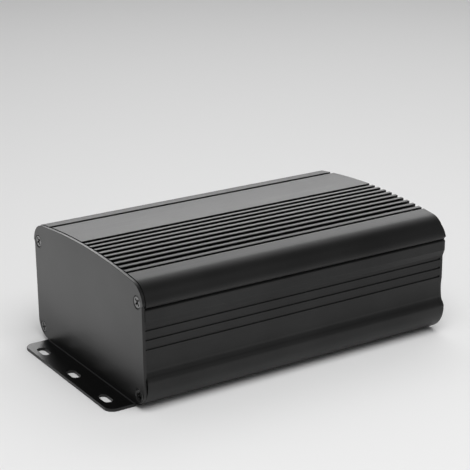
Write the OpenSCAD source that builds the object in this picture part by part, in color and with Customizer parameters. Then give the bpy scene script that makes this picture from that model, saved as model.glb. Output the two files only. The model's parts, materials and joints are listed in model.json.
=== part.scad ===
// Split extruded aluminium enclosure: a finned upper shell and a U-shaped lower shell that interlock,
// a bent end plate with a slotted mounting ear at the front and a plain cover at the rear,
// held by eight countersunk cross-recess screws. X is the width, Y the length, Z is up.

/* [Body] */
// Width of the body over its widest ribs
body_w = 145; // [110:0.5:200]
// Height of the body from its underside to the top of the crown
body_h = 84; // [78:0.5:120]
// Length of the two extruded shells
body_l = 221; // [80:1:400]
// Radius of the gently crowned top
crown_r = 490; // [400:10:1500]
// Radius of the two long top corners
top_corner_r = 13.5; // [10:0.5:15]
// Radius of the two long bottom corners
bottom_corner_r = 18.5; // [16:0.5:20]
// Thickness of the side walls behind the recessed panel
wall = 2.2; // [1.6:0.1:3]
// Thickness of the floor
floor_t = 2.6; // [2:0.1:4]
// Thickness of the roof under the plain panel
roof_t = 3; // [2.4:0.1:4]

/* [Split line] */
// Distance of the split line below the top of the crown
split_drop = 18.8; // [17:0.1:20]
// Height of the bevel that runs in and down to the split line on the upper shell
upper_bevel = 2.7; // [1.5:0.1:3.5]
// Width and height of the bevel on the lower shell below the split line
lower_bevel = 1.1; // [0.5:0.1:2]
// Set-back of the band on the lower shell behind the upper shell
band_step = 1.2; // [0.5:0.1:1.4]
// Height of the band under the split line, bevel included
band_h = 7.3; // [5:0.1:8]
// Length of the tongue of the upper shell that reaches down inside the lower shell
tongue_h = 6; // [5:0.5:9]
// Thickness of the tongue
tongue_t = 2; // [1.5:0.1:2.5]
// Projection of the bead that locks the tongue sideways into the lower shell
bead_d = 0.8; // [0.4:0.1:1]
// Running clearance round the tongue and its bead
slide_gap = 0.15; // [0.1:0.05:0.3]

/* [Side panel] */
// Set-back of the recessed panel behind the band
recess_step = 1.8; // [1:0.1:2.5]
// Height of the slope from the band down to the recessed panel
recess_slope_h = 4.2; // [2:0.1:6]
// Number of fine grooves in the recessed panel
side_grooves = 3; // [0:1:4]
// Distance from the split line down to the first fine groove
side_groove_drop = 13.6; // [12.5:0.1:14]
// Pitch of the fine grooves
side_groove_pitch = 6; // [3:0.05:6]
// Width of a fine groove
side_groove_w = 1.2; // [0.6:0.1:2]
// Depth of a fine groove
side_groove_d = 0.8; // [0.3:0.1:1]
// Height of the hollow channel above the foot rail
channel_h = 12.5; // [8:0.5:13]
// Depth of the hollow channel in its middle
channel_d = 0.6; // [0.2:0.1:0.8]
// Height of the curved step from the channel out to the foot rail
rail_rise = 7.3; // [6:0.1:8]

/* [Roof grooves] */
// Number of wide cooling grooves
fin_grooves = 9; // [3:1:9]
// Pitch of the cooling grooves
fin_pitch = 6.2; // [5:0.05:6.2]
// Width of a cooling groove
fin_groove_w = 3.4; // [2:0.1:4]
// Depth of a cooling groove
fin_groove_d = 3; // [1.5:0.1:3.5]
// Thickness of the roof left under the cooling grooves
fin_floor_t = 2.2; // [1.6:0.1:4]
// Distance of the middle of each edge groove in from its side of the body
edge_groove_in = 22.3; // [20:0.1:24]
// Distance from an edge groove to the first cooling groove
edge_groove_gap = 5.8; // [5:0.1:8]
// Width of the edge groove beside the cooling grooves
edge_groove_w = 2; // [1:0.1:3]
// Width of the edge groove on the plain side
plain_groove_w = 4; // [1:0.1:5]
// Depth of the edge grooves
edge_groove_d = 1.8; // [0.8:0.1:2]

/* [Inside] */
// Number of circuit-board slots in each side wall
board_slots = 3; // [1:1:3]
// Height of the lowest circuit-board slot
board_slot_z = 22; // [21:0.5:25]
// Distance between circuit-board slots
board_slot_pitch = 12; // [8:0.5:14]
// Opening of a circuit-board slot
board_slot_w = 2; // [1.6:0.1:2.5]
// Depth of a circuit-board slot
board_slot_d = 3; // [2:0.1:3.5]
// Thickness of the ribs that form a slot
board_rib_t = 1.4; // [1:0.1:2]

/* [End plates] */
// Sheet thickness of the ear plate and the rear cover
plate_t = 2; // [1.5:0.1:3]
// Set-back of the ear plate's edge inside the body's outline
plate_inset = 0.4; // [0.1:0.05:1]
// Radius of the ear plate's two bottom corners
plate_corner_r = 11.5; // [9:0.5:12]
// Reach of the mounting ear in front of the plate
ear_out = 17.3; // [15:0.1:25]
// Distance from the end of a bottom corner's round in to the side edge of the ear
ear_set_in = 0.65; // [0:0.05:5]
// Radius of the ear's outer corners
ear_corner_r = 6; // [1:0.5:8]
// Inner radius of the bend
bend_r = 0.7; // [0.5:0.1:2]
// Number of slots in the ear
ear_slots = 3; // [2:1:3]
// Distance from the side edge of the ear in to the centre of the outer slots
ear_slot_in = 16.5; // [12:0.1:20]
// Distance from the plate's face out to the slots' centres
ear_slot_out = 10.9; // [9:0.1:11]
// Width of a slot
ear_slot_w = 5.6; // [4:0.1:6]
// Length of a slot from end to end
ear_slot_l = 12.6; // [8:0.1:14]

/* [Screws] */
// Shank diameter of the cover screws
screw_d = 4; // [3:0.5:4]
// Head diameter of the cover screws
screw_head_d = 8; // [6:0.1:8.2]
// Overall length of the cover screws
screw_l = 12; // [8:1:20]
// Distance of the upper screws in from the sides of the body
screw_upper_in = 7.2; // [7:0.1:8]
// Distance of the upper screws below the crown
screw_upper_drop = 15.8; // [14.5:0.1:16]
// Distance of the lower screws in from the sides of the body
screw_lower_in = 8.3; // [8.3:0.1:10]
// Height of the lower screws above the underside
screw_lower_z = 9.3; // [9.3:0.1:14]
// Depth of the screw heads below the faces of the plates
screw_sink = 0.2; // [0:0.05:0.3]
// Clearance round a screw in its hole and in its boss
screw_gap = 0.1; // [0.05:0.05:0.2]
// Clearance between the upper shell and each end plate
lid_gap = 0.1; // [0.05:0.05:0.5]
// Wall of the round screw bosses
boss_wall = 2; // [1.5:0.1:2.5]
// Opening along the inner side of each screw boss
boss_slot_w = 1.6; // [1:0.1:2]

/* [Hidden] */
$fn = 64;

// One arc step for every few degrees on the long rounds of the sections
arc_steps = 18;
crown_steps = 24;
// Length by which a cutting solid passes its face
over = 1;

half_w = body_w / 2;
split_z = body_h - split_drop;
band_x = half_w - band_step;
recess_x = band_x - recess_step;
inner_x = recess_x - wall;
notch_x = band_x - lower_bevel;
crown_z = body_h - crown_r;
bevel_top_z = split_z + upper_bevel;
side_span_z = split_z - band_h - recess_slope_h;
rail_top_z = bottom_corner_r + rail_rise;
top_inner_r = top_corner_r - (half_w - inner_x);
bottom_inner_r = bottom_corner_r - (half_w - inner_x);
boss_r = screw_d / 2 + screw_gap + boss_wall;
bead_h = 1.5 * bead_d;
edge_groove_x = half_w - edge_groove_in;
fin_first_x = edge_groove_x - edge_groove_gap;
fin_last_x = fin_first_x - (fin_grooves - 1) * fin_pitch;
fin_bed_z = crown_at(fin_first_x) - fin_groove_d - fin_floor_t;

plate_top_x = half_w - plate_inset;
plate_side_x = band_x - plate_inset;
plate_bottom_z = plate_t + bend_r;
ear_half_w = plate_side_x - plate_corner_r - ear_set_in;
ear_slot_pitch = 2 * (ear_half_w - ear_slot_in) / (ear_slots - 1);
cover_drop = fin_groove_d + 0.5;

screw_upper = [half_w - screw_upper_in, body_h - screw_upper_drop];
screw_lower = [half_w - screw_lower_in, screw_lower_z];

// The footprint is centred on the origin, from the ear's edge to the rear cover's face
overall_l = ear_out + plate_t + body_l + plate_t;
plate_face_y = ear_out - overall_l / 2;
body_front_y = plate_face_y + plate_t;
body_rear_y = body_front_y + body_l;
cover_face_y = body_rear_y + plate_t;
lid_front_y = body_front_y + lid_gap;
lid_l = body_l - 2 * lid_gap;

head_h = plate_t - screw_sink;
sink_d = screw_head_d + screw_sink * (screw_head_d - screw_d) / head_h;
anodised = [0.10, 0.10, 0.105];
steel = [0.07, 0.07, 0.075];
recess_span = 0.56 * screw_head_d;
recess_slot = 0.11 * screw_head_d;
recess_depth = 0.17 * screw_head_d;
tip_h = 0.3 * screw_d;
tip_z = screw_sink + screw_l - tip_h;

function arc(cx, cz, r, from, to, steps) =
    [for (i = [0:steps]) let (a = from + (to - from) * i / steps) [cx + r * cos(a), cz + r * sin(a)]];

function mirrored(points) = [for (i = [len(points) - 1:-1:0]) [-points[i][0], points[i][1]]];

// Height of the crown at a distance x from the middle
function crown_at(x) = crown_z + sqrt(crown_r * crown_r - x * x);

// Right half of a crowned hood: from the middle of the crown over the corner and down the side to height end_z
function hood(hw, top_r, corner_r, end_z) =
    let (
        cx = hw - corner_r,
        cz = crown_z + sqrt(pow(top_r - corner_r, 2) - cx * cx),
        tilt = asin(cx / (top_r - corner_r)),
        stop = end_z > cz ? asin((end_z - cz) / corner_r) : 0
    )
    concat(
        arc(0, crown_z, top_r, 90, 90 - tilt, crown_steps),
        [for (i = [1:arc_steps]) arc(cx, cz, corner_r, 90 - tilt, stop, arc_steps)[i]],
        [if (end_z < cz) [hw, end_z]]
    );

// Right half of the outside of the lower shell, from the split line down to the underside
function lower_side() =
    let (
        step_x = half_w - recess_x,
        step_r = (step_x * step_x + rail_rise * rail_rise) / (4 * step_x),
        step_a = asin(rail_rise / (2 * step_r)),
        dip_r = (pow(channel_h / 2, 2) + channel_d * channel_d) / (2 * channel_d),
        dip_a = asin(channel_h / (2 * dip_r))
    )
    concat(
        [
            [notch_x, split_z],
            [band_x, split_z - lower_bevel],
            [band_x, split_z - band_h],
            [recess_x, side_span_z]
        ],
        arc(recess_x + dip_r - channel_d, rail_top_z + channel_h / 2, dip_r, 180 - dip_a, 180 + dip_a, arc_steps),
        [for (i = [1:arc_steps]) arc(recess_x + step_r, rail_top_z, step_r, 180, 180 + step_a, arc_steps)[i]],
        [for (i = [1:arc_steps])
            arc(half_w - step_r, bottom_corner_r, step_r, step_a, 0, arc_steps)[i]],
        [for (i = [1:arc_steps])
            arc(half_w - bottom_corner_r, bottom_corner_r, bottom_corner_r, 0, -90, arc_steps)[i]]
    );

// Both halves of a section that is drawn for the right-hand side
module both_sides() {
    for (side = [0, 1]) mirror([side, 0]) children();
}

// A section drawn in X and Z, run along the length
module along_y(from, length) {
    translate([0, from + length, 0]) rotate([90, 0, 0]) linear_extrude(length) children();
}

// Closed section from the points of its right half, listed from the top down
module outline_of(right) {
    polygon(concat(mirrored(right), right));
}

module upper_outline() {
    outline_of(concat(hood(half_w, crown_r, top_corner_r, bevel_top_z), [[notch_x, split_z]]));
}

module lower_outline() {
    outline_of(lower_side());
}

// Round screw boss
module boss(at) {
    translate(at) circle(boss_r);
}

// Bore of a screw boss, open along its inner side
module boss_bore(at) {
    translate(at) {
        circle(screw_d / 2 + screw_gap);
        translate([-boss_r - over, -boss_slot_w / 2]) square([boss_r + over, boss_slot_w]);
    }
}

// Straight-sided groove cut into the crown at a distance x from the middle
module roof_groove(x, w, d) {
    translate([x - w / 2, crown_at(x) - d]) square([w, d + over]);
}

module upper_walls() {
    difference() {
        upper_outline();
        outline_of(hood(inner_x, crown_r - roof_t, top_inner_r, split_z - over));
    }
}

// Thick bed under the cooling grooves
module fin_bed() {
    intersection() {
        upper_outline();
        translate([fin_last_x - fin_pitch / 2, fin_bed_z])
            square([fin_first_x - fin_last_x + fin_pitch, body_h]);
    }
}

// Tongue that reaches down inside the lower shell, with its locking bead
module tongue() {
    x = inner_x - slide_gap - tongue_t;
    low = split_z - tongue_h;
    polygon([
        [x, split_z + over], [x, low],
        [x + tongue_t + bead_d, low], [x + tongue_t + bead_d, low + bead_h],
        [x + tongue_t, low + bead_h], [x + tongue_t, split_z + over]
    ]);
}

module upper_cuts() {
    both_sides() boss_bore(screw_upper);
    roof_groove(edge_groove_x, edge_groove_w, edge_groove_d);
    roof_groove(-edge_groove_x, plain_groove_w, edge_groove_d);
    for (i = [0:fin_grooves - 1]) roof_groove(fin_first_x - i * fin_pitch, fin_groove_w, fin_groove_d);
}

module upper_shell() {
    color(anodised) difference() {
        union() {
            along_y(lid_front_y, lid_l) upper_walls();
            along_y(lid_front_y, lid_l) fin_bed();
            along_y(lid_front_y, lid_l) intersection() {
                upper_outline();
                both_sides() boss(screw_upper);
            }
            along_y(lid_front_y, lid_l) both_sides() tongue();
        }
        along_y(body_front_y - over, body_l + 2 * over) upper_cuts();
    }
}

module lower_walls() {
    difference() {
        lower_outline();
        outline_of(concat(
            [[inner_x, split_z + over]],
            arc(inner_x - bottom_inner_r, floor_t + bottom_inner_r, bottom_inner_r, 0, -90, arc_steps)
        ));
    }
}

// Two ribs that hold the edge of a circuit board between them
module board_slot(z) {
    for (side = [-1, 1])
        translate([inner_x - board_slot_d, z + side * (board_slot_w + board_rib_t) / 2 - board_rib_t / 2])
            square([board_slot_d + over, board_rib_t]);
}

module lower_cuts() {
    both_sides() {
        boss_bore(screw_lower);
        translate([inner_x - over, split_z - tongue_h - slide_gap])
            square([over + bead_d, bead_h + 2 * slide_gap]);
        for (i = [0:side_grooves - 1]) {
            groove_z = split_z - side_groove_drop - i * side_groove_pitch;
            translate([recess_x - side_groove_d, groove_z - side_groove_w / 2])
                square([side_groove_d + over, side_groove_w]);
        }
    }
}

module lower_shell() {
    color(anodised) difference() {
        union() {
            along_y(body_front_y, body_l) lower_walls();
            along_y(body_front_y, body_l) intersection() {
                lower_outline();
                both_sides() boss(screw_lower);
            }
            along_y(body_front_y, body_l) both_sides()
                for (i = [0:board_slots - 1]) board_slot(board_slot_z + i * board_slot_pitch);
        }
        along_y(body_front_y - over, body_l + 2 * over) lower_cuts();
    }
}

// Cover screw with its axis on Z and the top of its head at z = -screw_sink
module screw_body(reach) {
    translate([0, 0, -plate_t]) cylinder(h = head_h, d1 = screw_d, d2 = screw_head_d);
    translate([0, 0, -reach]) cylinder(h = reach - screw_sink, d = screw_d);
}

// Countersunk hole for a cover screw, with the plate's face at z = 0
module screw_hole() {
    grow = 2 * screw_gap;
    translate([0, 0, -plate_t]) cylinder(h = plate_t, d1 = screw_d + grow, d2 = sink_d + grow);
    translate([0, 0, -plate_t - over]) cylinder(h = plate_t + over, d = screw_d + grow);
    cylinder(h = over, d = sink_d + grow);
}

module cover_screw() {
    color(steel) difference() {
        union() {
            screw_body(tip_z);
            translate([0, 0, -tip_z - tip_h]) cylinder(h = tip_h, d1 = screw_d - tip_h, d2 = screw_d);
        }
        translate([0, 0, -screw_sink]) {
            for (turn = [0, 90]) rotate([0, 0, turn])
                translate([-recess_span / 2, -recess_slot / 2, -recess_depth])
                    cube([recess_span, recess_slot, recess_depth + over]);
            translate([0, 0, -recess_depth]) cylinder(h = recess_depth, d1 = recess_slot, d2 = recess_span / 2);
        }
    }
}

// Places its children at one screw of the front (end = -1) or the rear (end = 1)
module at_screw(end, at, side) {
    face_y = end < 0 ? plate_face_y : cover_face_y;
    translate([side * at[0], face_y, at[1]]) rotate([-90 * end, 0, 0]) children();
}

module screw_holes(end) {
    for (at = [screw_upper, screw_lower], side = [-1, 1]) at_screw(end, at, side) screw_hole();
}

// The ear plate's sheet seen from the side: plate, bend and ear
module ear_profile() {
    reach = bend_r + plate_t;
    translate([plate_face_y, reach]) square([plate_t, plate_corner_r]);
    translate([plate_face_y - bend_r, reach]) intersection() {
        difference() {
            circle(reach);
            circle(bend_r);
        }
        translate([0, -reach]) square(reach);
    }
    translate([plate_face_y - ear_out, 0]) square([ear_out - bend_r, plate_t]);
}

// What is cut from the ear, seen from above: its two outer corners and its slots
module ear_cuts() {
    edge_y = plate_face_y - ear_out;
    both_sides() difference() {
        translate([ear_half_w - ear_corner_r, edge_y - over]) square([ear_corner_r + over, ear_corner_r + over]);
        translate([ear_half_w - ear_corner_r, edge_y + ear_corner_r]) circle(ear_corner_r);
    }
    straight = ear_slot_l - ear_slot_w;
    for (i = [0:ear_slots - 1])
        translate([(i - (ear_slots - 1) / 2) * ear_slot_pitch, plate_face_y - ear_slot_out]) {
            square([straight, ear_slot_w], center = true);
            for (end = [-1, 1]) translate([end * straight / 2, 0]) circle(ear_slot_w / 2);
        }
}

module ear_plate_outline() {
    step = plate_top_x - plate_side_x;
    outline_of(concat(
        hood(plate_top_x, crown_r - plate_inset, top_corner_r - plate_inset, bevel_top_z),
        [[plate_side_x, bevel_top_z - step]],
        arc(plate_side_x - plate_corner_r, plate_bottom_z + plate_corner_r, plate_corner_r, 0, -90, arc_steps)
    ));
}

module ear_plate() {
    color(anodised) difference() {
        union() {
            along_y(plate_face_y, plate_t) ear_plate_outline();
            translate([-ear_half_w, 0, 0]) rotate([90, 0, 90]) linear_extrude(2 * ear_half_w) ear_profile();
        }
        translate([0, 0, -over]) linear_extrude(plate_t + 2 * over) ear_cuts();
        screw_holes(-1);
    }
}

// Follows the body's outline, but stays below the roof grooves so that they run out freely
module rear_cover_outline() {
    intersection() {
        union() {
            upper_outline();
            lower_outline();
        }
        translate([0, -cover_drop]) outline_of(hood(half_w, crown_r, top_corner_r, 0));
    }
}

module rear_cover() {
    color(anodised) difference() {
        along_y(body_rear_y, plate_t) rear_cover_outline();
        screw_holes(1);
    }
}

upper_shell();
lower_shell();
ear_plate();
rear_cover();
at_screw(-1, screw_upper, -1) cover_screw();  // front_screw_upper_left
at_screw(-1, screw_upper, 1) cover_screw();  // front_screw_upper_right
at_screw(-1, screw_lower, -1) cover_screw();  // front_screw_lower_left
at_screw(-1, screw_lower, 1) cover_screw();  // front_screw_lower_right
at_screw(1, screw_upper, -1) cover_screw();  // rear_screw_upper_left
at_screw(1, screw_upper, 1) cover_screw();  // rear_screw_upper_right
at_screw(1, screw_lower, -1) cover_screw();  // rear_screw_lower_left
at_screw(1, screw_lower, 1) cover_screw();  // rear_screw_lower_right
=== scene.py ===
"""Looks of the split extruded aluminium enclosure: anodised shells, sheet plates, cover screws and stage."""

import json
import math

import bmesh
import bpy
from bpy.props import FloatProperty, FloatVectorProperty, PointerProperty, StringProperty
from mathutils import Euler, Matrix, Quaternion, Vector

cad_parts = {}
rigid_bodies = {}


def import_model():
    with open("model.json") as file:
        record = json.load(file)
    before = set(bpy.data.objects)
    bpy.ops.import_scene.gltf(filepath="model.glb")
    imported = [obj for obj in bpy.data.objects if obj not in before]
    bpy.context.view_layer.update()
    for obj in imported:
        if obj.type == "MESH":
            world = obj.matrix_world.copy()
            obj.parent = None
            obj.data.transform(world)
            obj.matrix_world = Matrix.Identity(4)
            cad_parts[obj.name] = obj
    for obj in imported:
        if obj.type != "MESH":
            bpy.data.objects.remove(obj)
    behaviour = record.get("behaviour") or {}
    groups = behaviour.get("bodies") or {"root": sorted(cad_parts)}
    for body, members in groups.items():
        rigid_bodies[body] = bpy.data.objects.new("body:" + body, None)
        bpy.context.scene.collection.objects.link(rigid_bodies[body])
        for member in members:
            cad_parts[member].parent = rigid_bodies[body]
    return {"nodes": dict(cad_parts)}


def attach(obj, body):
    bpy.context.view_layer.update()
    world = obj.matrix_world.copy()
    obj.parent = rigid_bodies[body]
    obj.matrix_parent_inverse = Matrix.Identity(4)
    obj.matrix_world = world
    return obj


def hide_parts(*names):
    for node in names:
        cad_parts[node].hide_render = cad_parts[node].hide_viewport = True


bl_info = {
    "name": "Extruded Enclosure Looks",
    "version": (1, 0, 0),
    "blender": (4, 5, 0),
    "location": "View3D > Sidebar > Enclosure",
    "description": "Dresses the enclosure's frame with anodised shells, plates, cover screws and a stage",
    "category": "Add Mesh",
}

for leftover in list(bpy.data.objects):
    bpy.data.objects.remove(leftover)
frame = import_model()

MM = 0.001
BODY = "root"

# Visible pieces and the CAD nodes that they stand for
SHELLS = {"upper_extrusion": "upper_shell", "lower_extrusion": "lower_shell"}
PLATES = {"ear_sheet": "ear_plate", "cover_sheet": "rear_cover"}
SCREW_NODES = sorted(name for name in frame["nodes"] if "screw" in name)
# Degrees by which each cross is turned, in the order of SCREW_NODES
SCREW_TURNS = (20, 65, 38, 48, 10, 75, 30, 55)

# Copies of CAD nodes: corners this close are one, faces this flat are one, edges this sharp are broken
MERGE_GAP = 0.001 * MM
FLAT_ANGLE = math.radians(0.03)
SHARP_ANGLE = math.radians(20)
BREAK_SEGMENTS = 2

# The lip above the split line: strips that round it, and its fullness, where 1 is the flat bevel
LIP_STEPS = 10
LIP_FULLNESS = 3.0

# Screws: sides of the turned profile and of the pilot cone, rings in one pitch of the thread, the tip's
# radius as a share of the thread's, the slope of the cross's arms, and the pilot cone's radii in arm widths
PROFILE_SIDES = 32
PILOT_SIDES = 16
RINGS_PER_PITCH = 4
TIP_SHARE = 0.6
ARM_FLARE = 0.45
PILOT_TOP, PILOT_TIP = 1.9, 0.15
SLIVER = 0.002 * MM
SMOOTH_ANGLE = math.radians(35)

# Finishes: the band in which most values of a noise texture lie
NOISE_LOW, NOISE_HIGH = 0.3, 0.7

# Stage, in metres. Each softbox has its setting, place, target and size, and what is kept from seeing it
FLOOR_HALF = 3.0
CENTRE = (0, 0, 0)
SOFTBOXES = {
    # The low key lamp serves the metal alone: on the paper it would burn out the far floor
    "key_softbox": ("key_lamp", (-1.35, 0.87, 0.73), CENTRE, (1.6, 0.54), ("diffuse",)),
    "high_softbox": ("high_lamp", (-0.75, 0.72, 1.35), CENTRE, (1.4, 0.7), ()),
    "side_softbox": ("side_lamp", (1.35, 0.42, 0.95), CENTRE, (0.9, 0.7), ()),
    # Lights the paper evenly but is kept out of the metal, whose rounds would else show it as a bright band
    "paper_softbox": ("paper_lamp", (0.6, -0.2, 1.4), CENTRE, (1.2, 1.2), ("glossy",)),
    # A low pale card in front of the ear, facing up, for the end plate to reflect
    "card": ("card", (-0.1, -0.42, 0.003), (-0.1, -0.42, 1), (1.1, 0.58), ("camera", "diffuse")),
}


def box_of(node):
    """Lowest and highest corner of an object's mesh."""
    places = [vertex.co for vertex in node.data.vertices]
    return (Vector(min(place[i] for place in places) for i in range(3)),
            Vector(max(place[i] for place in places) for i in range(3)))


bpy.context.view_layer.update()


def linear(hex_colour):
    """A linear colour with alpha from an sRGB hex string."""
    parts = [int(hex_colour[i:i + 2], 16) / 255 for i in (1, 3, 5)]
    curve = [c / 12.92 if c <= 0.04045 else ((c + 0.055) / 1.055) ** 2.4 for c in parts]
    return (*curve, 1.0)


def add_node(tree, kind, settings=None, inputs=None):
    """Adds a node, sets its properties and fills or links its inputs (a socket is linked, a value is set)."""
    node = tree.nodes.new(kind)
    for key, value in (settings or {}).items():
        setattr(node, key, value)
    for key, value in (inputs or {}).items():
        if isinstance(value, bpy.types.NodeSocket):
            tree.links.new(value, node.inputs[key])
        else:
            node.inputs[key].default_value = value
    return node


# ---------------------------------------------------------------------------------------------- sizes

class FinishSettings(bpy.types.PropertyGroup):
    """Colours and surface of the anodised parts"""

    shell_colour: StringProperty(
        name="Shell colour", description="Dyed oxide of the extrusions, sRGB hex", default="#393939")
    sheet_colour: StringProperty(
        name="Sheet colour", description="Dyed oxide of the two end plates, sRGB hex", default="#3C3C3C")
    roughness: FloatProperty(
        name="Roughness", description="Micro-roughness left by blasting before anodising",
        default=0.36, min=0.05, max=1.0, subtype="FACTOR")
    grain: FloatProperty(
        name="Blast grain", description="Size of the drawn blast dimples", default=0.6 * MM, unit="LENGTH")
    rib_break: FloatProperty(
        name="Rib edge radius", description="Radius the die leaves on the long edges of the extrusions",
        default=0.3 * MM, unit="LENGTH")
    sawn_break: FloatProperty(
        name="Sawn edge break", description="Deburred edge round the sawn ends",
        default=0.12 * MM, unit="LENGTH")
    sheet_break: FloatProperty(
        name="Sheet edge radius", description="Roll-over of the punched sheet's edges",
        default=0.18 * MM, unit="LENGTH")


class ScrewSettings(bpy.types.PropertyGroup):
    """Sizes of the countersunk cross-recess cover screws"""

    head: FloatProperty(name="Head diameter", description="Across the top of the head",
                        default=7.6 * MM, unit="LENGTH")
    head_height: FloatProperty(name="Head height", description="From the top down to the thread",
                               default=1.8 * MM, unit="LENGTH")
    head_break: FloatProperty(name="Head edge break", description="Rounding of the head's rim",
                              default=0.35 * MM, unit="LENGTH")
    thread: FloatProperty(name="Thread diameter", description="Over the crests of the thread",
                          default=3.9 * MM, unit="LENGTH")
    length: FloatProperty(name="Length", description="Overall, head included",
                          default=11.9 * MM, unit="LENGTH")
    pitch: FloatProperty(name="Thread pitch", description="From crest to crest",
                         default=0.7 * MM, unit="LENGTH")
    recess: FloatProperty(name="Recess span", description="Across the arms of the cross",
                          default=5.4 * MM, unit="LENGTH")
    arm: FloatProperty(name="Recess arm", description="Width of an arm of the cross",
                       default=1.2 * MM, unit="LENGTH")
    recess_depth: FloatProperty(name="Recess depth", description="Of the cross",
                                default=2.0 * MM, unit="LENGTH")
    colour: StringProperty(name="Oxide colour", description="Black oxide of the steel, sRGB hex",
                           default="#5A5A5A")


class StageSettings(bpy.types.PropertyGroup):
    """Camera, floor and lamps"""

    camera_place: FloatVectorProperty(
        name="Camera place", description="In the part's frame",
        default=(748.4 * MM, -471.6 * MM, 370.2 * MM), subtype="TRANSLATION")
    azimuth: FloatProperty(name="Azimuth", description="0 looks along +Y, 90 along -X",
                           default=math.radians(57.52), subtype="ANGLE")
    elevation: FloatProperty(name="Elevation", description="Above the horizon",
                             default=math.radians(18.69), subtype="ANGLE")
    roll: FloatProperty(name="Roll", description="About the line of sight",
                        default=math.radians(-0.51), subtype="ANGLE")
    lens: FloatProperty(name="Lens", description="Focal length on a 36 mm sensor", default=111.0)
    floor_colour: StringProperty(
        name="Floor colour", description="Matt paper, sRGB hex", default="#E8E8E8")
    key_lamp: FloatProperty(
        name="Key lamp", description="Watts of the softbox behind the far side", default=10.7)
    high_lamp: FloatProperty(
        name="High lamp", description="Watts of the dimmer softbox above it", default=4.3)
    side_lamp: FloatProperty(
        name="Side lamp", description="Watts of the dim softbox on the near side", default=0.8)
    paper_lamp: FloatProperty(
        name="Paper lamp", description="Watts of the lamp over the paper", default=18.5)
    card: FloatProperty(
        name="Card", description="Watts of the low card in front of the ear", default=1.0)
    room: FloatProperty(
        name="Room light", description="Strength of the even room light", default=0.3)


# ------------------------------------------------------------------------------------------ materials

def start_material(name):
    """A new material, its node tree, its shader, and the coordinates of the object that wears it."""
    material = bpy.data.materials.new(name)
    material.use_nodes = True
    tree = material.node_tree
    place = add_node(tree, "ShaderNodeTexCoord").outputs["Object"]
    return material, tree, tree.nodes["Principled BSDF"], place


def mottle(tree, shader, noise, colour, tint):
    """Gives the shader a colour that a noise texture makes lighter or darker, by up to a share of tint."""
    share = add_node(tree, "ShaderNodeMapRange", inputs={
        "Value": noise.outputs["Fac"], "From Min": NOISE_LOW, "From Max": NOISE_HIGH,
        "To Min": 1 - tint, "To Max": 1 + tint})
    shade = add_node(tree, "ShaderNodeVectorMath", settings={"operation": "SCALE"}, inputs={
        0: linear(colour)[:3], "Scale": share.outputs["Result"]})
    tree.links.new(shade.outputs["Vector"], shader.inputs["Base Color"])


def anodised(name, colour, roughness, grain, drag):
    """Black anodised aluminium: a dyed oxide film on blasted metal, so dark metal with a silky broad sheen.

    drag is the strength, from 0 to 1, of the fine lines that the die leaves along an extrusion."""
    cloud_size, cloud_tint = 40 * MM, 0.1
    line_width, line_length, line_gloss, line_height = 0.5 * MM, 120 * MM, 0.12, 0.2
    dimple_gloss, dimple_height = 0.10, 0.25
    relief = 0.02 * MM
    material, tree, shader, place = start_material(name)
    # Blast dimples are about 0.1 mm: they are drawn at grain size, the finest that still shows
    dimples = add_node(tree, "ShaderNodeTexNoise", inputs={
        "Vector": place, "Scale": 1.0 / grain, "Detail": 2.0, "Roughness": 0.6})
    # Slow unevenness of the dye and the blast
    cloud = add_node(tree, "ShaderNodeTexNoise", inputs={
        "Vector": place, "Scale": 1.0 / cloud_size, "Detail": 3.0, "Roughness": 0.5})
    # Drag lines are narrow across the extrusion and run far along it
    squeezed = add_node(tree, "ShaderNodeMapping", settings={"vector_type": "POINT"}, inputs={
        "Vector": place, "Scale": (1.0 / line_width, 1.0 / line_length, 1.0 / line_width)})
    lines = add_node(tree, "ShaderNodeTexNoise", inputs={
        "Vector": squeezed.outputs["Vector"], "Scale": 1.0, "Detail": 2.0, "Roughness": 0.5})

    mottle(tree, shader, cloud, colour, cloud_tint)
    blasted = add_node(tree, "ShaderNodeMath", settings={"operation": "MULTIPLY_ADD"}, inputs={
        0: dimples.outputs["Fac"], 1: dimple_gloss, 2: roughness - dimple_gloss / 2})
    drawn = add_node(tree, "ShaderNodeMath", settings={"operation": "MULTIPLY_ADD"}, inputs={
        0: lines.outputs["Fac"], 1: line_gloss * drag, 2: blasted.outputs["Value"]})
    tree.links.new(drawn.outputs["Value"], shader.inputs["Roughness"])

    pits = add_node(tree, "ShaderNodeBump", inputs={
        "Height": dimples.outputs["Fac"], "Strength": dimple_height, "Distance": relief})
    ridges = add_node(tree, "ShaderNodeBump", inputs={
        "Height": lines.outputs["Fac"], "Strength": max(0.001, line_height * drag),
        "Distance": relief, "Normal": pits.outputs["Normal"]})
    tree.links.new(ridges.outputs["Normal"], shader.inputs["Normal"])
    shader.inputs["Metallic"].default_value = 1.0
    return material


def black_oxide_steel(name, colour):
    """Black oxide on turned steel: near-black, a little glossier than the anodised film around it."""
    blotch_size, blotch_tint, blotch_gloss, blotch_height = 1.0 * MM, 0.2, 0.12, 0.15
    polish = 0.18
    relief = 0.02 * MM
    material, tree, shader, place = start_material(name)
    # Blotches of the oxide bath
    blotches = add_node(tree, "ShaderNodeTexNoise", inputs={
        "Vector": place, "Scale": 1.0 / blotch_size, "Detail": 3.0, "Roughness": 0.6})
    mottle(tree, shader, blotches, colour, blotch_tint)
    gloss = add_node(tree, "ShaderNodeMath", settings={"operation": "MULTIPLY_ADD"}, inputs={
        0: blotches.outputs["Fac"], 1: blotch_gloss, 2: polish})
    tree.links.new(gloss.outputs["Value"], shader.inputs["Roughness"])
    bumps = add_node(tree, "ShaderNodeBump", inputs={
        "Height": blotches.outputs["Fac"], "Strength": blotch_height, "Distance": relief})
    tree.links.new(bumps.outputs["Normal"], shader.inputs["Normal"])
    shader.inputs["Metallic"].default_value = 1.0
    return material


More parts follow.
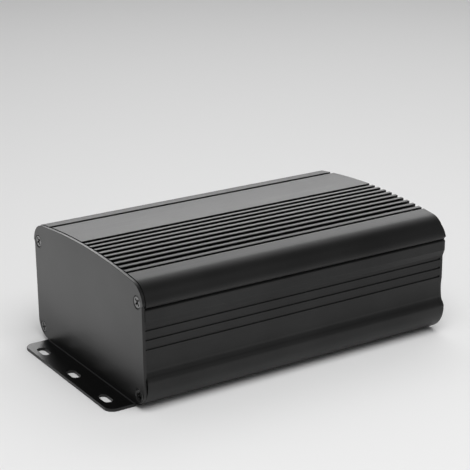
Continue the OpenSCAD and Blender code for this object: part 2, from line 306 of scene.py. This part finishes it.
def matt_paper(name, colour):
    """Seamless background paper: a pale, quite matt surface with a faint tooth."""
    tooth_size, tooth_height = 2.5 * MM, 0.05
    relief = 0.05 * MM
    material, tree, shader, place = start_material(name)
    tooth = add_node(tree, "ShaderNodeTexNoise", inputs={
        "Vector": place, "Scale": 1.0 / tooth_size, "Detail": 2.0})
    bumps = add_node(tree, "ShaderNodeBump", inputs={
        "Height": tooth.outputs["Fac"], "Strength": tooth_height, "Distance": relief})
    tree.links.new(bumps.outputs["Normal"], shader.inputs["Normal"])
    shader.inputs["Base Color"].default_value = linear(colour)
    shader.inputs["Roughness"].default_value = 0.9
    return material


# --------------------------------------------------------------------------------------------- pieces

def swell_lip(bm):
    """Turns the flat bevel above the split line into the full lip that an extrusion die gives it."""
    reach = max(vertex.co.x for vertex in bm.verts)
    rim_width = 4 * MM
    for side in (-1, 1):
        # The bevels are the only slopes at the sides that face out and down
        slopes = [face for face in bm.faces if face.normal.x * side > 0.5 and face.normal.z < -0.4
                  and min(vertex.co.x * side for vertex in face.verts) > reach - rim_width]
        if not slopes:
            raise RuntimeError("the bevel above the split line is missing")
        rim = {vertex for face in slopes for vertex in face.verts}
        low, high = min(vertex.co.z for vertex in rim), max(vertex.co.z for vertex in rim)
        inner = min(vertex.co.x * side for vertex in rim)
        outer = max(vertex.co.x * side for vertex in rim)
        for step in range(1, LIP_STEPS):
            level = high + (low - high) * step / LIP_STEPS
            around = {element for face in slopes for element in (face, *face.edges, *face.verts)}
            cut = bmesh.ops.bisect_plane(
                bm, geom=list(around), plane_no=(0, 0, 1), plane_co=(0, 0, level))
            slopes = [face for face in cut["geom"] if isinstance(face, bmesh.types.BMFace)]
            rim.update(vertex for vertex in cut["geom_cut"] if isinstance(vertex, bmesh.types.BMVert))
        for vertex in rim:
            part = (high - vertex.co.z) / (high - low)
            vertex.co.x = side * (inner + (outer - inner) * (1 - part ** LIP_FULLNESS))


def dressed_copy(name, node, breaks, reshape=None):
    """A merged copy of a CAD node whose sharp edges are broken by small radii.

    breaks(edge) gives the radius of one sharp edge, and reshape(bm) may first refine the copy."""
    mesh = frame["nodes"][node].data.copy()
    mesh.name = name
    bm = bmesh.new()
    bm.from_mesh(mesh)
    bmesh.ops.remove_doubles(bm, verts=bm.verts, dist=MERGE_GAP)
    bmesh.ops.dissolve_limit(bm, angle_limit=FLAT_ANGLE, verts=bm.verts, edges=bm.edges)
    if reshape:
        reshape(bm)
        bm.normal_update()
    weight = bm.edges.layers.float.new("bevel_weight_edge")
    widest = 0.0
    for edge in bm.edges:
        edge.smooth = True
        if len(edge.link_faces) == 2 and edge.calc_face_angle(0.0) > SHARP_ANGLE:
            edge[weight] = breaks(edge)
            widest = max(widest, edge[weight])
    for edge in bm.edges:
        edge[weight] /= widest
    for face in bm.faces:
        face.smooth = True
    bm.to_mesh(mesh)
    bm.free()
    # Normals that the frame's file carried would fight those of the broken edges
    if "custom_normal" in mesh.attributes:
        mesh.attributes.remove(mesh.attributes["custom_normal"])
    piece = bpy.data.objects.new(name, mesh)
    bpy.context.scene.collection.objects.link(piece)
    round_off = piece.modifiers.new("edge_breaks", "BEVEL")
    round_off.limit_method = "WEIGHT"
    round_off.width = widest
    round_off.segments = BREAK_SEGMENTS
    round_off.use_clamp_overlap = False
    round_off.harden_normals = True
    return piece


def take_over(piece, node, material):
    """Gives a piece its finish and lets it stand for a CAD node."""
    piece.data.materials.clear()
    piece.data.materials.append(material)
    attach(piece, BODY)
    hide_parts(node)


class ENCLOSURE_OT_shells(bpy.types.Operator):
    """Dress the two extruded shells"""

    bl_idname = "enclosure.shells"
    bl_label = "Extruded shells"

    def execute(self, context):
        finish = context.scene.enclosure_finish
        film = anodised("anodised_extrusion", finish.shell_colour, finish.roughness, finish.grain, drag=1.0)

        def breaks(edge):
            """The die's radius on edges that run along the extrusion, the saw's on the others."""
            along = (edge.verts[1].co - edge.verts[0].co).normalized()
            return finish.rib_break if abs(along.y) > 0.9 else finish.sawn_break

        for name, node in SHELLS.items():
            reshape = swell_lip if node == "upper_shell" else None
            take_over(dressed_copy(name, node, breaks, reshape), node, film)
        return {"FINISHED"}


class ENCLOSURE_OT_plates(bpy.types.Operator):
    """Dress the ear plate and the rear cover"""

    bl_idname = "enclosure.plates"
    bl_label = "End plates"

    def execute(self, context):
        finish = context.scene.enclosure_finish
        film = anodised("anodised_sheet", finish.sheet_colour, finish.roughness, finish.grain, drag=0.0)
        for name, node in PLATES.items():
            take_over(dressed_copy(name, node, lambda edge: finish.sheet_break), node, film)
        return {"FINISHED"}


def screw_tree(inputs):
    """A node tree that builds one cover screw and sets it on every point, turned by the point's aim.

    The screw's head is at the origin and its shank runs down -Z. inputs maps the names of the tree's
    inputs to their socket types. Returns the tree and the inputs' identifiers."""
    tree = bpy.data.node_groups.new("cover_screws", "GeometryNodeTree")
    sockets = {name: tree.interface.new_socket(name, in_out="INPUT", socket_type=kind)
               for name, kind in inputs.items()}
    tree.interface.new_socket("Geometry", in_out="OUTPUT", socket_type="NodeSocketGeometry")
    given = add_node(tree, "NodeGroupInput").outputs

    def maths(operation, *values):
        return add_node(tree, "ShaderNodeMath", settings={"operation": operation},
                        inputs=dict(enumerate(values))).outputs[0]

    def vector(x=0.0, y=0.0, z=0.0):
        return add_node(tree, "ShaderNodeCombineXYZ", inputs={"X": x, "Y": y, "Z": z}).outputs[0]

    # The head, its rounded rim, the thread and the tip are one turned profile along a line
    line = add_node(tree, "GeometryNodeCurvePrimitiveLine", inputs={
        "End": vector(z=maths("MULTIPLY", given["Length"], -1.0))})
    rings = maths("DIVIDE", given["Length"], maths("MULTIPLY", given["Pitch"], 1 / RINGS_PER_PITCH))
    spaced = add_node(tree, "GeometryNodeResampleCurve", inputs={
        "Curve": line.outputs["Curve"], "Count": rings})
    place = add_node(tree, "ShaderNodeSeparateXYZ", inputs={
        0: add_node(tree, "GeometryNodeInputPosition").outputs[0]})
    depth = maths("MULTIPLY", place.outputs["Z"], -1.0)
    head_r = maths("MULTIPLY", given["Head Diameter"], 0.5)
    thread_r = maths("MULTIPLY", given["Thread Diameter"], 0.5)
    rim = maths("ADD", maths("SUBTRACT", head_r, given["Head Break"]), depth)
    taper = add_node(tree, "ShaderNodeMapRange", inputs={
        "Value": depth, "From Min": given["Head Break"], "From Max": given["Head Height"],
        "To Min": head_r, "To Max": thread_r})
    below_head = maths("SUBTRACT", depth, given["Head Height"])
    groove = maths("PINGPONG", below_head, maths("MULTIPLY", given["Pitch"], 0.5))
    threaded = maths("MULTIPLY", groove, maths("GREATER_THAN", depth, given["Head Height"]))
    shank = maths("SUBTRACT", taper.outputs["Result"], threaded)
    tip = maths("ADD", maths("MULTIPLY", thread_r, TIP_SHARE), maths("SUBTRACT", given["Length"], depth))
    radius = maths("MINIMUM", maths("MINIMUM", rim, shank), tip)
    ring = add_node(tree, "GeometryNodeCurvePrimitiveCircle", inputs={
        "Resolution": PROFILE_SIDES, "Radius": 1.0})
    turned = add_node(tree, "GeometryNodeCurveToMesh", inputs={
        "Curve": spaced.outputs["Curve"], "Profile Curve": ring.outputs["Curve"],
        "Scale": radius, "Fill Caps": True})

    # The cross recess is cut by two tapered arms and a pilot cone. They reach as far above the head as
    # below it, so their middle is level with it, and the arms' corner radius there is their half diagonal
    cut_h = maths("MULTIPLY", given["Recess Depth"], 2.0)
    lowered = vector(z=maths("MULTIPLY", cut_h, -0.5))
    corner = math.sqrt(0.5)
    arm = add_node(tree, "GeometryNodeMeshCone", inputs={
        "Vertices": 4, "Depth": cut_h,
        "Radius Top": maths("MULTIPLY", given["Recess Span"], corner * (1 + ARM_FLARE)),
        "Radius Bottom": maths("MULTIPLY", given["Recess Span"], corner * (1 - ARM_FLARE))})
    squared = add_node(tree, "GeometryNodeTransform", inputs={
        "Geometry": arm.outputs["Mesh"], "Rotation": (0, 0, math.radians(45)), "Translation": lowered})
    slim = maths("DIVIDE", given["Recess Arm"], given["Recess Span"])
    blades = [
        add_node(tree, "GeometryNodeTransform", inputs={
            "Geometry": squared.outputs["Geometry"], "Scale": scale}).outputs["Geometry"]
        for scale in (vector(1.0, slim, 1.0), vector(slim, 1.0, 1.0))]
    cone = add_node(tree, "GeometryNodeMeshCone", inputs={
        "Vertices": PILOT_SIDES, "Depth": cut_h,
        "Radius Top": maths("MULTIPLY", given["Recess Arm"], PILOT_TOP),
        "Radius Bottom": maths("MULTIPLY", given["Recess Arm"], PILOT_TIP)})
    pilot = add_node(tree, "GeometryNodeTransform", inputs={
        "Geometry": cone.outputs["Mesh"], "Translation": lowered})
    cut = add_node(tree, "GeometryNodeMeshBoolean", settings={"operation": "DIFFERENCE", "solver": "EXACT"},
                   inputs={"Mesh 1": turned.outputs["Mesh"], "Self Intersection": True})
    for cutter in (*blades, pilot.outputs["Geometry"]):
        tree.links.new(cutter, cut.inputs["Mesh 2"])
    clean = add_node(tree, "GeometryNodeMergeByDistance", inputs={
        "Geometry": cut.outputs["Mesh"], "Distance": SLIVER})

    aim = add_node(tree, "GeometryNodeInputNamedAttribute", settings={"data_type": "FLOAT_VECTOR"},
                   inputs={"Name": "aim"})
    spread = add_node(tree, "GeometryNodeInstanceOnPoints", inputs={
        "Points": given["Points"], "Instance": clean.outputs["Geometry"],
        "Rotation": aim.outputs["Attribute"]})
    solid = add_node(tree, "GeometryNodeRealizeInstances", inputs={"Geometry": spread.outputs["Instances"]})
    coated = add_node(tree, "GeometryNodeSetMaterial", inputs={
        "Geometry": solid.outputs["Geometry"], "Material": given["Finish"]})
    add_node(tree, "NodeGroupOutput", inputs={"Geometry": coated.outputs["Geometry"]})
    return tree, {name: socket.identifier for name, socket in sockets.items()}


class ENCLOSURE_OT_screws(bpy.types.Operator):
    """Set the cover screws into the end plates"""

    bl_idname = "enclosure.screws"
    bl_label = "Cover screws"

    def execute(self, context):
        sizes = context.scene.enclosure_screws
        values = {
            "Head Diameter": sizes.head, "Head Height": sizes.head_height, "Head Break": sizes.head_break,
            "Thread Diameter": sizes.thread, "Length": sizes.length, "Pitch": sizes.pitch,
            "Recess Span": sizes.recess, "Recess Arm": sizes.arm, "Recess Depth": sizes.recess_depth,
        }
        tree, keys = screw_tree({
            "Points": "NodeSocketGeometry", **{name: "NodeSocketFloat" for name in values},
            "Finish": "NodeSocketMaterial"})

        # Each screw sits where its CAD node does, turned as its driver happened to leave it
        seats, aims = [], []
        for node, turn in zip(SCREW_NODES, SCREW_TURNS):
            low, high = box_of(frame["nodes"][node])
            front = low.y < 0
            seats.append(((low.x + high.x) / 2, low.y if front else high.y, (low.z + high.z) / 2))
            upright = Euler((math.radians(90 if front else -90), 0, 0)).to_matrix()
            aims.append((upright @ Matrix.Rotation(math.radians(turn), 3, "Z")).to_euler())
        points = bpy.data.meshes.new("screw_seats")
        points.from_pydata(seats, [], [])
        aim = points.attributes.new("aim", "FLOAT_VECTOR", "POINT")
        for item, angles in zip(aim.data, aims):
            item.vector = angles
        holder = bpy.data.objects.new("screw_seats", points)
        context.scene.collection.objects.link(holder)
        grown = holder.modifiers.new("screws", "NODES")
        grown.node_group = tree
        for name, value in values.items():
            grown[keys[name]] = value
        grown[keys["Finish"]] = black_oxide_steel("black_oxide_steel", sizes.colour)
        mesh = bpy.data.meshes.new_from_object(holder.evaluated_get(context.evaluated_depsgraph_get()))
        bpy.data.objects.remove(holder)
        mesh.shade_smooth()
        mesh.set_sharp_from_angle(angle=SMOOTH_ANGLE)
        piece = bpy.data.objects.new("machine_screws", mesh)
        context.scene.collection.objects.link(piece)
        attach(piece, BODY)
        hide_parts(*SCREW_NODES)
        return {"FINISHED"}


class ENCLOSURE_OT_stage(bpy.types.Operator):
    """Set up the floor, the soft lamps and the camera"""

    bl_idname = "enclosure.stage"
    bl_label = "Stage"

    def execute(self, context):
        stage = context.scene.enclosure_stage
        scene = context.scene
        scene.view_settings.view_transform = "Standard"

        mesh = bpy.data.meshes.new("floor")
        mesh.from_pydata([(-FLOOR_HALF, -FLOOR_HALF, 0), (FLOOR_HALF, -FLOOR_HALF, 0),
                          (FLOOR_HALF, FLOOR_HALF, 0), (-FLOOR_HALF, FLOOR_HALF, 0)], [], [(0, 1, 2, 3)])
        mesh.materials.append(matt_paper("matt_paper", stage.floor_colour))
        floor = bpy.data.objects.new("floor", mesh)
        scene.collection.objects.link(floor)

        for name, (setting, place, target, size, kept_from) in SOFTBOXES.items():
            light = bpy.data.lights.new(name, "AREA")
            light.shape = "RECTANGLE"
            light.size, light.size_y = size
            light.energy = getattr(stage, setting)
            lamp = bpy.data.objects.new(name, light)
            lamp.location = place
            lamp.rotation_mode = "QUATERNION"
            lamp.rotation_quaternion = (Vector(place) - Vector(target)).to_track_quat("Z", "Y")
            for ray in kept_from:
                setattr(lamp, "visible_" + ray, False)
            scene.collection.objects.link(lamp)

        world = scene.world or bpy.data.worlds.new("room")
        scene.world = world
        world.use_nodes = True
        tree = world.node_tree
        tree.nodes.clear()
        room = add_node(tree, "ShaderNodeBackground", inputs={"Color": (1, 1, 1, 1), "Strength": stage.room})
        add_node(tree, "ShaderNodeOutputWorld", inputs={"Surface": room.outputs[0]})

        lens = bpy.data.cameras.new("camera")
        lens.lens = stage.lens
        lens.sensor_width = 36.0
        lens.clip_start, lens.clip_end = 0.01, 20.0
        camera = bpy.data.objects.new("camera", lens)
        camera.location = stage.camera_place
        a, e = stage.azimuth, stage.elevation
        back = Vector((math.sin(a) * math.cos(e), -math.cos(a) * math.cos(e), math.sin(e)))
        camera.rotation_mode = "QUATERNION"
        camera.rotation_quaternion = back.to_track_quat("Z", "Y") @ Quaternion((0, 0, 1), stage.roll)
        scene.collection.objects.link(camera)
        scene.camera = camera
        return {"FINISHED"}


class ENCLOSURE_PT_panel(bpy.types.Panel):
    """Lists the enclosure's settings and steps"""

    bl_idname = "ENCLOSURE_PT_panel"
    bl_label = "Enclosure"
    bl_space_type = "VIEW_3D"
    bl_region_type = "UI"
    bl_category = "Enclosure"

    def draw(self, context):
        for owner in ("enclosure_finish", "enclosure_screws", "enclosure_stage"):
            group = getattr(context.scene, owner)
            box = self.layout.box()
            for key in group.__annotations__:
                box.prop(group, key)
        for step in STEPS:
            self.layout.operator(step.bl_idname)


GROUPS = {
    "enclosure_finish": FinishSettings,
    "enclosure_screws": ScrewSettings,
    "enclosure_stage": StageSettings,
}
STEPS = (ENCLOSURE_OT_stage, ENCLOSURE_OT_shells, ENCLOSURE_OT_plates, ENCLOSURE_OT_screws)


def register():
    for cls in (*GROUPS.values(), *STEPS, ENCLOSURE_PT_panel):
        bpy.utils.register_class(cls)
    for key, cls in GROUPS.items():
        setattr(bpy.types.Scene, key, PointerProperty(type=cls))


def unregister():
    for key in GROUPS:
        delattr(bpy.types.Scene, key)
    for cls in (ENCLOSURE_PT_panel, *STEPS, *GROUPS.values()):
        bpy.utils.unregister_class(cls)


def main():
    register()
    for step in STEPS:
        family, action = step.bl_idname.split(".")
        getattr(getattr(bpy.ops, family), action)()


if __name__ == "__main__":
    main()
